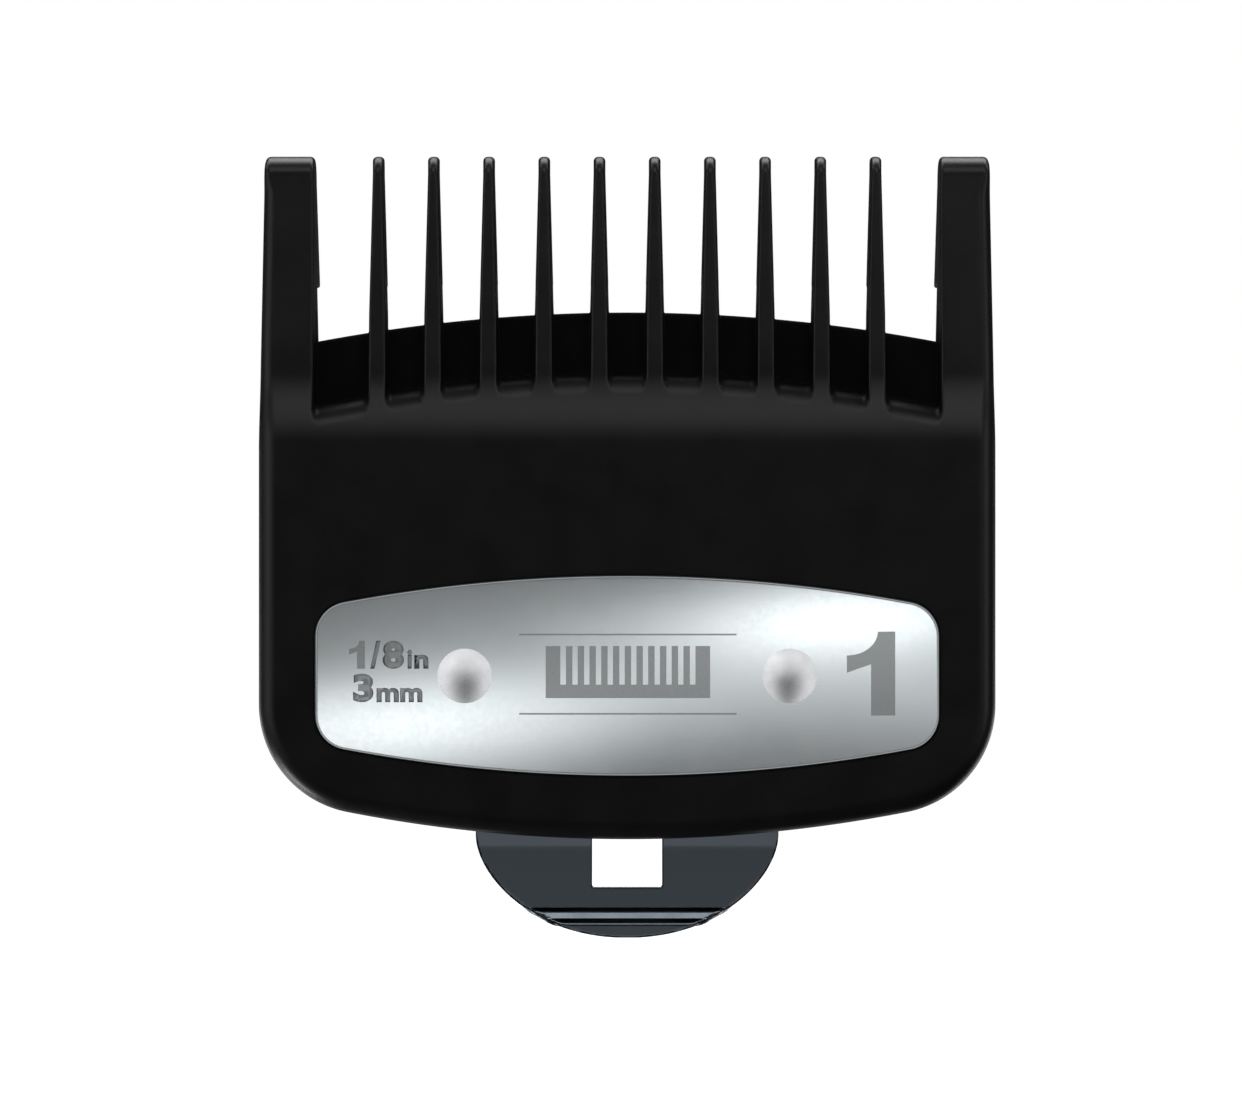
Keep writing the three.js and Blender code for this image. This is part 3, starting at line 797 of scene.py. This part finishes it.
class Nodes:
    """Short names for building one material's node tree."""

    def __init__(self, name):
        self.material = bpy.data.materials.new(name)
        self.material.use_nodes = True
        self.tree = self.material.node_tree
        self.shader = self.tree.nodes["Principled BSDF"]
        self.coordinates = self.new("ShaderNodeTexCoord").outputs["Object"]

    def new(self, kind, **settings):
        node = self.tree.nodes.new(kind)
        for key, value in settings.items():
            setattr(node, key, value)
        return node

    def link(self, source, target):
        self.tree.links.new(source, target)

    def noise(self, per_mm, detail=2.0, stretch=(1, 1, 1)):
        """Noise with about that many features per millimetre, stretched by axis."""
        mapping = self.new("ShaderNodeMapping")
        for axis in range(3):
            mapping.inputs["Scale"].default_value[axis] = per_mm / MM / stretch[axis]
        self.link(self.coordinates, mapping.inputs["Vector"])
        noise = self.new("ShaderNodeTexNoise")
        noise.inputs["Scale"].default_value = 1
        noise.inputs["Detail"].default_value = detail
        self.link(mapping.outputs["Vector"], noise.inputs["Vector"])
        return noise.outputs["Fac"]

    def axis(self, number):
        """One coordinate of the shaded point, in millimetres."""
        parts = self.new("ShaderNodeSeparateXYZ")
        self.link(self.coordinates, parts.inputs["Vector"])
        scaled = self.new("ShaderNodeMath", operation="MULTIPLY")
        scaled.inputs[1].default_value = 1 / MM
        self.link(parts.outputs[number], scaled.inputs[0])
        return scaled.outputs["Value"]

    def product(self, *values):
        total = values[0]
        for value in values[1:]:
            times = self.new("ShaderNodeMath", operation="MULTIPLY")
            self.link(total, times.inputs[0])
            self.link(value, times.inputs[1])
            total = times.outputs["Value"]
        return total

    def between(self, value, *edges):
        """Rises from 0 to 1 between the first two edges and falls between the last two."""
        rise = self.ramp(value, 0.0, 1.0, stops=(0.0, 1.0), span=edges[:2])
        fall = self.ramp(value, 1.0, 0.0, stops=(0.0, 1.0), span=edges[2:])
        return self.product(rise, fall)

    def ramp(self, value, low, high, stops=(0.3, 0.7), span=None):
        """Maps a value, or the given span of it, between two colours or grey levels."""
        if span:
            spread = self.new("ShaderNodeMapRange")
            spread.inputs["From Min"].default_value = span[0]
            spread.inputs["From Max"].default_value = span[1]
            self.link(value, spread.inputs["Value"])
            value = spread.outputs["Result"]
        ramp = self.new("ShaderNodeValToRGB")
        for element, stop, level in zip(ramp.color_ramp.elements, stops, (low, high)):
            element.position = stop
            rgb = level if isinstance(level, tuple) else (level,) * 3
            element.color = (*rgb, 1)
        self.link(value, ramp.inputs["Fac"])
        return ramp.outputs["Color"]

    def mix(self, factor, a, b, blend="MIX"):
        mix = self.new("ShaderNodeMix", data_type="RGBA", blend_type=blend)
        if isinstance(factor, float):
            mix.inputs["Factor"].default_value = factor
        else:
            self.link(factor, mix.inputs["Factor"])
        self.link(a, mix.inputs["A"])
        self.link(b, mix.inputs["B"])
        return mix.outputs["Result"]

    def bump(self, height, depth_mm, normal=None):
        bump = self.new("ShaderNodeBump")
        bump.inputs["Strength"].default_value = 1
        bump.inputs["Distance"].default_value = depth_mm * MM
        self.link(height, bump.inputs["Height"])
        if normal:
            self.link(normal, bump.inputs["Normal"])
        return bump.outputs["Normal"]

    def set(self, **values):
        for key, value in values.items():
            socket = self.shader.inputs[key.replace("_", " ")]
            if isinstance(value, bpy.types.NodeSocket):
                self.link(value, socket)
            else:
                socket.default_value = value


def nylon_material():
    n = Nodes("black_glass_filled_nylon")
    grain = n.noise(7, detail=4)
    fibres = n.noise(5, detail=2, stretch=(1, 1, 7))
    cloud = n.noise(0.35, detail=3)
    colour = n.ramp(cloud, (0.0085, 0.0085, 0.009), (0.0125, 0.0125, 0.013))
    pointiness = n.new("ShaderNodeNewGeometry").outputs["Pointiness"]
    worn = n.ramp(pointiness, (0, 0, 0), (0.006, 0.006, 0.0063), stops=(0.56, 0.7))
    colour = n.mix(1.0, colour, worn, blend="ADD")
    roughness = n.mix(0.5, n.ramp(grain, 0.32, 0.44), n.ramp(cloud, 0.34, 0.42))
    normal = n.bump(grain, 0.0016, n.bump(fibres, 0.0008))
    # Painted shade: the pockets between the teeth get almost no specular reflection, standing in
    # for the shade there, where their walls see only each other.
    pockets = n.product(
        n.between(n.axis(0), -21.5, -21.35, 21.35, 21.5),
        n.between(n.axis(1), -2.25, -1.6, -0.75, -0.6),
        n.between(n.axis(2), 4.0, 4.6, 11.2, 11.4),
    )
    painted_shade_gloss = n.ramp(pockets, 0.5, 0.04, stops=(0.0, 1.0))
    n.set(
        Base_Color=colour, Roughness=roughness, Normal=normal, IOR=1.5, Specular_IOR_Level=painted_shade_gloss,
    )
    return n.material


def plate_material():
    n = Nodes("satin_nameplate_metal")
    lines = n.noise(9, detail=3, stretch=(40, 1, 1))
    cloud = n.noise(0.16, detail=4)
    speck = n.noise(3, detail=2)
    colour = n.ramp(cloud, (0.605, 0.65, 0.665), (0.65, 0.69, 0.705))
    roughness = n.mix(0.5, n.ramp(cloud, 0.14, 0.17), n.ramp(speck, 0.14, 0.17))
    normal = n.bump(lines, 0.0002)
    n.set(Base_Color=colour, Metallic=1.0, Roughness=roughness, Normal=normal)
    return n.material


def rivet_material():
    n = Nodes("satin_rivet_metal")
    cloud = n.noise(0.9, detail=3)
    fine = n.noise(12, detail=2)
    colour = n.ramp(cloud, (0.60, 0.61, 0.62), (0.72, 0.73, 0.74))
    n.set(
        Base_Color=colour, Metallic=1.0, Roughness=n.ramp(fine, 0.2, 0.3),
        Normal=n.bump(fine, 0.0001),
    )
    return n.material


def etched_material():
    n = Nodes("etched_grey")
    fine = n.noise(10, detail=3)
    colour = n.ramp(fine, (0.34, 0.36, 0.365), (0.40, 0.42, 0.425))
    n.set(
        Base_Color=colour, Metallic=0.52, Roughness=n.ramp(fine, 0.18, 0.26),
        Normal=n.bump(fine, 0.001),
    )
    return n.material


def clip_material():
    n = Nodes("dark_spring_steel")
    rolled = n.noise(6, detail=3, stretch=(30, 1, 1))
    cloud = n.noise(0.5, detail=3)
    colour = n.ramp(cloud, (0.112, 0.134, 0.156), (0.124, 0.148, 0.172))
    pointiness = n.new("ShaderNodeNewGeometry").outputs["Pointiness"]
    worn = n.ramp(pointiness, (0, 0, 0), (0.12, 0.12, 0.12), stops=(0.53, 0.62))
    colour = n.mix(1.0, colour, worn, blend="ADD")
    n.set(
        Base_Color=colour, Metallic=1.0, Roughness=n.ramp(cloud, 0.16, 0.24),
        Normal=n.bump(rolled, 0.0003), Coat_Weight=0.4, Coat_Roughness=0.12,
    )
    return n.material


# ---- Marks on the nameplate ----

MARK_HEIGHT = 0.012
MARK_DEPTH = 0.02
MARK_STEP = 0.7
LETTER_WEIGHT = 0.04
FIGURE_WEIGHT = 0.055
INCH_BASE_Z = -13.26
INCH_HEIGHT = 1.9
MILLIMETRE_BASE_Z = -15.54
SYMBOL_X = 0.05
SYMBOL_TEETH = 11
SYMBOL_PITCH = 0.8


def lay_on_plate(name, flat, material):
    """Turns a flat bmesh of (x, z) faces into a thin layer on the domed nameplate."""
    bmesh.ops.remove_doubles(flat, verts=flat.verts, dist=0.002)
    low = min(v.co.x for v in flat.verts), min(v.co.z for v in flat.verts)
    high = max(v.co.x for v in flat.verts), max(v.co.z for v in flat.verts)
    for normal, start, end in (((1, 0, 0), low[0], high[0]), ((0, 0, 1), low[1], high[1])):
        for level in np.arange(math.floor(start), math.ceil(end), MARK_STEP):
            geometry = flat.verts[:] + flat.edges[:] + flat.faces[:]
            bmesh.ops.bisect_plane(
                flat, geom=geometry, plane_co=tuple(c * level for c in normal), plane_no=normal,
            )
    bmesh.ops.triangulate(flat, faces=flat.faces)
    for face in flat.faces:
        if face.normal.y > 0:
            face.normal_flip()
    raised = bmesh.ops.extrude_face_region(flat, geom=flat.faces[:])
    top = {v for v in raised["geom"] if isinstance(v, bmesh.types.BMVert)}
    for vert in flat.verts:
        level = -MARK_HEIGHT if vert in top else MARK_DEPTH
        vert.co.y = crown(vert.co.x, vert.co.z) + level
    bmesh.ops.recalc_face_normals(flat, faces=flat.faces)
    mesh = bpy.data.meshes.new(name)
    flat.to_mesh(mesh)
    flat.free()
    for vert in mesh.vertices:
        vert.co *= MM
    piece = shown(name, mesh, material)
    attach(piece, "comb")
    return piece


def flat_polygons(polygons):
    """Closed (x, z) outlines as a flat bmesh."""
    flat = bmesh.new()
    for polygon in polygons:
        flat.faces.new([flat.verts.new((x, 0, z)) for x, z in polygon])
    return flat


def flat_text(runs):
    """Text as a flat bmesh. Each run is (text, left x, right x, base z, height, weight)."""
    flat = bmesh.new()
    for text, left, right, base, height, weight in runs:
        curve = bpy.data.curves.new("run", "FONT")
        curve.body = text
        curve.size = 1
        curve.offset = weight
        curve.resolution_u = 6
        holder = bpy.data.objects.new("run", curve)
        bpy.context.scene.collection.objects.link(holder)
        bpy.context.view_layer.update()
        graph = bpy.context.evaluated_depsgraph_get()
        mesh = bpy.data.meshes.new_from_object(holder.evaluated_get(graph))
        across = [v.co.x for v in mesh.vertices]
        up = [v.co.y for v in mesh.vertices]
        for vert in mesh.vertices:
            x = np.interp(vert.co.x, (min(across), max(across)), (left, right))
            z = np.interp(vert.co.y, (min(up), max(up)), (base, base + height))
            vert.co = (x, 0, z)
        flat.from_mesh(mesh)
        bpy.data.objects.remove(holder)
    return flat


def numeral_one(left, base, width, height):
    """A heavy figure one: a stem and a short curved flag."""
    stem = width * 0.5
    flag = []
    for share in np.linspace(0, 1, 9):
        angle = share * math.pi / 2
        x = left + (width - stem * 0.72) * math.sin(angle)
        flag.append((x, base + height * (0.715 + 0.285 * (1 - math.cos(angle)))))
    return [
        (left + width, base), (left + width, base + height), *reversed(flag),
        (left, base + height * 0.51), (left + width - stem, base + height * 0.61),
        (left + width - stem, base),
    ]


def comb_symbol(centre_x, centre_z):
    """A plain drawing of a comb between two rules."""
    shapes = []

    def bar(x, z, half_x, half_z):
        x, z = x + centre_x, z + centre_z
        shapes.append([
            (x - half_x, z - half_z), (x + half_x, z - half_z),
            (x + half_x, z + half_z), (x - half_x, z + half_z),
        ])

    for level in (-2.58, 2.82):
        bar(0, level, 7.4, 0.06)
    bar(0, -1.05, 5.6, 0.46)
    teeth_z, teeth_half_z = 0.725, 1.315
    for side in (-1, 1):
        bar(side * 5.1, teeth_z, 0.5, teeth_half_z)
    for number in range(SYMBOL_TEETH):
        bar((number - SYMBOL_TEETH // 2) * SYMBOL_PITCH, teeth_z, 0.22, teeth_half_z)
    return shapes


def make_marks(material):
    size = numeral_one(14.96, PLATE_Z - 2.7, 3.3, 5.72)
    inch = numeral_one(-18.95, INCH_BASE_Z, 1.09, INCH_HEIGHT)
    inches = flat_text([
        ("/", -17.5, -16.8, INCH_BASE_Z, INCH_HEIGHT, LETTER_WEIGHT),
        ("8", -16.66, -15.2, INCH_BASE_Z, INCH_HEIGHT, FIGURE_WEIGHT),
        ("i", -14.96, -14.66, INCH_BASE_Z, 1.3, LETTER_WEIGHT),
        ("n", -14.5, -13.53, INCH_BASE_Z, 0.95, LETTER_WEIGHT),
    ])
    inches.faces.new([inches.verts.new((x, 0, z)) for x, z in inch])
    millimetres = flat_text([
        ("3", -18.67, -17.28, MILLIMETRE_BASE_Z, 1.94, FIGURE_WEIGHT),
        ("mm", -17.07, -13.94, MILLIMETRE_BASE_Z, 0.98, LETTER_WEIGHT),
    ])
    return [
        lay_on_plate("mark_size_number", flat_polygons([size]), material),
        lay_on_plate("mark_length_inches", inches, material),
        lay_on_plate("mark_length_millimetres", millimetres, material),
        lay_on_plate("mark_comb_symbol", flat_polygons(comb_symbol(SYMBOL_X, PLATE_Z)), material),
    ]


# ---- Stage, lights and camera ----

STUDIO_CENTRE = (0, 0, -5)


def soft_box(name, azimuth, elevation, size, power, centre=STUDIO_CENTRE, distance=450, lit=None):
    """A rectangular light on a sphere about the centre, facing it. Azimuth 0 is in front.

    Sizes and distances are in millimetres. When lit is a collection, only its pieces are lit.
    """
    data = bpy.data.lights.new(name, "AREA")
    data.shape = "RECTANGLE"
    data.size, data.size_y = size[0] * MM, size[1] * MM
    data.energy = power
    light = bpy.data.objects.new(name, data)
    bpy.context.scene.collection.objects.link(light)
    turn, rise = math.radians(azimuth), math.radians(elevation)
    outward = Vector((
        math.sin(turn) * math.cos(rise), -math.cos(turn) * math.cos(rise), math.sin(rise),
    ))
    light.location = (Vector(centre) + outward * distance) * MM
    light.rotation_euler = (-outward).to_track_quat("-Z", "Y").to_euler()
    light.light_linking.receiver_collection = lit
    return light


def lit_group(name, pieces):
    group = bpy.data.collections.new(name)
    for piece in pieces:
        group.objects.link(piece)
    return group


def glow_pattern(light, base, glows):
    """Gives a light a base level and soft oval glows, placed in millimetres from its middle.

    Each glow is (strength, x, y, half width, half height, turn in radians).
    """
    data = light.data
    data.use_nodes = True
    tree = data.node_tree
    emission = tree.nodes["Emission"]
    place = tree.nodes.new("ShaderNodeNewGeometry").outputs["Parametric"]

    def compute(kind, operation, a, b, output="Value"):
        node = tree.nodes.new(kind)
        node.operation = operation
        for socket, value in zip(node.inputs, (a, b)):
            if isinstance(value, bpy.types.NodeSocket):
                tree.links.new(value, socket)
            else:
                socket.default_value = value
        return node.outputs[output]

    def vector(operation, a, b):
        return compute("ShaderNodeVectorMath", operation, a, b, "Vector")

    def number(operation, a, b):
        return compute("ShaderNodeMath", operation, a, b)

    centred = vector("SUBTRACT", place, (0.5, 0.5, 0))
    flat = vector("MULTIPLY", centred, (data.size / MM, data.size_y / MM, 0))
    total = base
    for strength, x, y, half_width, half_height, turn in glows:
        turned = tree.nodes.new("ShaderNodeVectorRotate")
        turned.rotation_type = "Z_AXIS"
        turned.inputs["Angle"].default_value = -turn
        tree.links.new(vector("SUBTRACT", flat, (x, y, 0)), turned.inputs["Vector"])
        scaled = vector("MULTIPLY", turned.outputs[0], (1 / half_width, 1 / half_height, 0))
        square = compute("ShaderNodeVectorMath", "DOT_PRODUCT", scaled, scaled)
        fall = number("POWER", math.e, number("MULTIPLY", square, -1))
        total = number("ADD", total, number("MULTIPLY", fall, strength))
    tree.links.new(total, emission.inputs["Strength"])


def make_world():
    world = bpy.data.worlds.new("studio")
    bpy.context.scene.world = world
    world.use_nodes = True
    tree = world.node_tree
    tree.nodes.clear()
    seen = tree.nodes.new("ShaderNodeBackground")
    seen.inputs["Color"].default_value = (1, 1, 1, 1)
    around = tree.nodes.new("ShaderNodeBackground")
    around.inputs["Color"].default_value = (0.95, 0.97, 1, 1)
    around.inputs["Strength"].default_value = 0.02
    path = tree.nodes.new("ShaderNodeLightPath")
    mix = tree.nodes.new("ShaderNodeMixShader")
    out = tree.nodes.new("ShaderNodeOutputWorld")
    tree.links.new(path.outputs["Is Camera Ray"], mix.inputs[0])
    tree.links.new(around.outputs[0], mix.inputs[1])
    tree.links.new(seen.outputs[0], mix.inputs[2])
    tree.links.new(mix.outputs[0], out.inputs["Surface"])


def make_floor():
    n = Nodes("pale_floor")
    cloud = n.noise(0.004, detail=2)
    n.set(Base_Color=n.ramp(cloud, 0.93, 0.95), Roughness=0.9)
    n.set(Emission_Color=(1, 1, 1, 1), Emission_Strength=1.0)
    level = LATCH_LOW[2] - 30
    far = 6000.0
    points = [(-far, -far, level), (far, -far, level), (far, far, level), (-far, far, level)]
    floor = mesh_piece("floor", points, [(0, 1, 2, 3)], n.material)
    floor.visible_diffuse = False
    floor.visible_glossy = False
    floor.visible_shadow = False


# Rows of strip lights for the comb body, as (angle in degrees, power in watts).
TOP_ROW = ((20, 0.01), (28, 0.016), (37, 0.11), (48, 0.13), (60, 0.06))
LEFT_ROW = ((40, 0.06), (56, 0.09), (70, 0.06), (84, 0.03))
RIGHT_ROW = ((20, 0.01), (32, 0.024), (56, 0.09), (70, 0.05))


def light_comb(comb):
    """The shoulder and tips pick up the top row, and the rounded sides the two side rows."""
    dark = lit_group("lit_comb", [comb])
    for elevation, power in TOP_ROW:
        soft_box(f"top_{elevation}", 0, elevation, (420, 55), power, lit=dark)
    for azimuth, power in LEFT_ROW:
        soft_box(f"left_{azimuth}", -azimuth, 5, (80, 300), power, lit=dark)
    for azimuth, power in RIGHT_ROW:
        soft_box(f"right_{azimuth}", azimuth, 5, (80, 300), power, lit=dark)
    soft_box("top_right", 22, 26, (120, 120), 0.04, lit=dark)
    soft_box("low_left", -100, -45, (160, 160), 0.65, lit=dark)
    for side in (-1, 1):
        soft_box(f"high_side_{side}", side * 100, 42, (200, 160), 0.16, lit=dark)


def light_plate(plate, marks):
    """A small card gives the plate its streaks, and a wide one, dark in the middle, its edges."""
    bright = lit_group("lit_plate", [plate] + marks)
    card = soft_box("plate_card", 0, 0, (300, 360), 0.33, (0, -4, PLATE_Z - 10), 500, bright)
    glow_pattern(card, 0.03, (
        (2.49, -47.4, -43.7, 44.5, 28.8, 0.63),
        (3.62, 45.3, 44.5, 27.8, 17.8, 0.85),
        (0.8, 60, -0.6, 102, 51, -0.31),
    ))
    rim = soft_box("plate_rim", 0, 0, (1600, 1600), 8, (0, -4, PLATE_Z), 350, bright)
    glow_pattern(rim, 0.5, ((-0.5, 0, 0, 180, 180, 0),))


def light_rivets(rivets):
    """A pale tent with dark patches, which the domed heads mirror whole."""
    domed = lit_group("lit_tent", rivets)
    tent = soft_box("tent", 0, 0, (1600, 1600), 8, (0, -4, PLATE_Z), 350, domed)
    glow_pattern(tent, 1.05, (
        (-0.42, 0, -60, 210, 150, 0), (-0.76, 0, -330, 210, 330, 0), (0.3, -250, 200, 200, 200, 0),
    ))


def light_clip(clip):
    """One strip each for the strap above the tab, the tab's face and its folded lip."""
    steel = lit_group("lit_clip", [clip])
    tab = (0, 0, -28)
    soft_box("tab_front", 0, 5, (260, 95), 0.022, tab, 300, steel)
    soft_box("tab_low", 0, -13, (260, 90), 0.038, (15, 0, -28), 300, steel)
    soft_box("tab_lip", 0, 41, (260, 40), 0.085, tab, 300, steel)


def light_back():
    """Lights every piece for views from behind."""
    soft_box("back_high", 180, 62, (500, 260), 1.4)
    soft_box("back_low", 180, -45, (500, 260), 0.15)
    for side in (-1, 1):
        soft_box(f"back_side_{side}", side * 138, -22, (220, 300), 0.36)


def make_camera():
    data = bpy.data.cameras.new("view")
    data.sensor_width = 36
    data.lens = 149
    data.clip_start, data.clip_end = 0.01, 20
    camera = bpy.data.objects.new("view", data)
    bpy.context.scene.collection.objects.link(camera)
    camera.location = Vector((-0.42, PLATE_LOW[1] - 350, -4.97)) * MM
    camera.rotation_euler = (math.pi / 2, 0, 0)
    bpy.context.scene.camera = camera


# ---- Assembly ----

nylon = nylon_material()
plate_metal = plate_material()
rivet_metal = rivet_material()
etched = etched_material()
steel = clip_material()

comb = make_comb(nylon)
nameplate = make_nameplate(plate_metal)
rivets = [
    make_rivet("guard_rivet_left", "rivet_left", -RIVET_X, rivet_metal),
    make_rivet("guard_rivet_right", "rivet_right", RIVET_X, rivet_metal),
]
spring_clip = make_clip(steel)
marks = make_marks(etched)

make_world()
make_floor()
light_comb(comb)
light_plate(nameplate, marks)
light_rivets(rivets)
light_clip(spring_clip)
light_back()
make_camera()
bpy.context.scene.view_settings.view_transform = "Standard"
